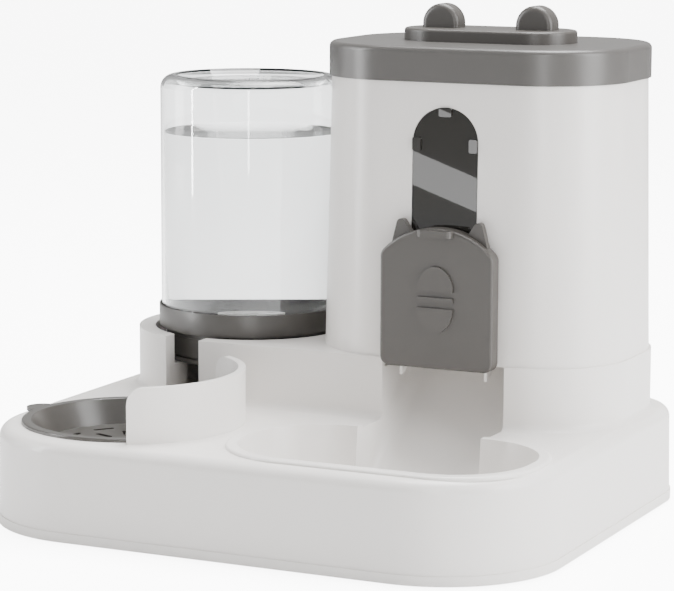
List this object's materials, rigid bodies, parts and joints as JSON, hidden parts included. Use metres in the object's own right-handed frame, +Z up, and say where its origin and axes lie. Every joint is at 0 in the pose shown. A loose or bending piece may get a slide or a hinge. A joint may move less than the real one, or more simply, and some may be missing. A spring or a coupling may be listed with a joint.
{
  "type": "pet food and water feeder",
  "caption": "Pet feeder: base with food bowl, ramp and drinking bowl, kibble hopper with lift gate, window and lid, and an inverted clear water bottle.",
  "frame": {"origin": "on the floor under the middle of the base", "axes": "+X to the feeder's right, +Y to its back, +Z up"},
  "size_m": [0.31, 0.262, 0.2664],
  "materials": {
    "white_plastic": "satin moulded",
    "grey_plastic": "satin moulded",
    "grey_gate": "satin moulded",
    "clear_plastic": "clear polished",
    "smoked_plastic": "smoked clear",
    "dark_cap": "moulded",
    "soft_seal": "matt silicone",
    "foot_rubber": "matt",
    "steel": "plated"
  },
  "bodies": {
    "base": {"base_shell": "white_plastic", "deck_housing": "white_plastic", "food_bowl": "white_plastic", "food_chute": "white_plastic", "water_basin": "white_plastic", "bottle_seat": "white_plastic", "base_bottom_cover": "white_plastic", "rubber_feet": "foot_rubber", "cover_screws": "steel"},
    "guard": {"splash_guard": "white_plastic", "guard_tabs": "white_plastic"},
    "drinking_bowl": {"water_bowl_insert": "grey_plastic"},
    "bottle": {"water_bottle": "clear_plastic", "bottle_cap": "dark_cap", "cap_gasket": "soft_seal", "valve_cage": "white_plastic", "valve_spring": "steel"},
    "valve": {"valve_stem": "white_plastic", "valve_seal": "soft_seal"},
    "hopper": {"feed_hopper": "white_plastic", "hopper_funnel": "white_plastic", "hopper_window": "smoked_plastic"},
    "lid": {"hopper_lid": "grey_plastic", "lid_seal": "soft_seal", "lid_handle": "grey_gate", "handle_screws": "steel"},
    "gate": {"slide_gate": "grey_gate"}
  },
  "joints": [
    {"name": "guard_lift", "type": "slide", "parent": "base", "child": "guard", "axis": [0, 0, 1], "range_m": [0, 0.05]},
    {"name": "bowl_lift", "type": "slide", "parent": "base", "child": "drinking_bowl", "axis": [0, 0, 1], "range_m": [0, 0.08]},
    {"name": "bottle_lift", "type": "slide", "parent": "base", "child": "bottle", "axis": [0, 0, 1], "range_m": [0, 0.1]},
    {"name": "valve_travel", "type": "slide", "parent": "bottle", "child": "valve", "axis": [0, 0, -1], "range_m": [0, 0.0029], "deforming": ["valve_spring"]},
    {"name": "hopper_lift", "type": "slide", "parent": "base", "child": "hopper", "axis": [0, 0, 1], "range_m": [0, 0.08]},
    {"name": "lid_lift", "type": "slide", "parent": "hopper", "child": "lid", "axis": [0, 0, 1], "range_m": [0, 0.08]},
    {"name": "gate_slide", "type": "slide", "parent": "hopper", "child": "gate", "axis": [0, 0, 1], "range_m": [0, 0.042]}
  ],
  "couplings": [
    {"joint": "valve_travel", "follows": "bottle_lift", "ratio": 0.029}
  ]
}
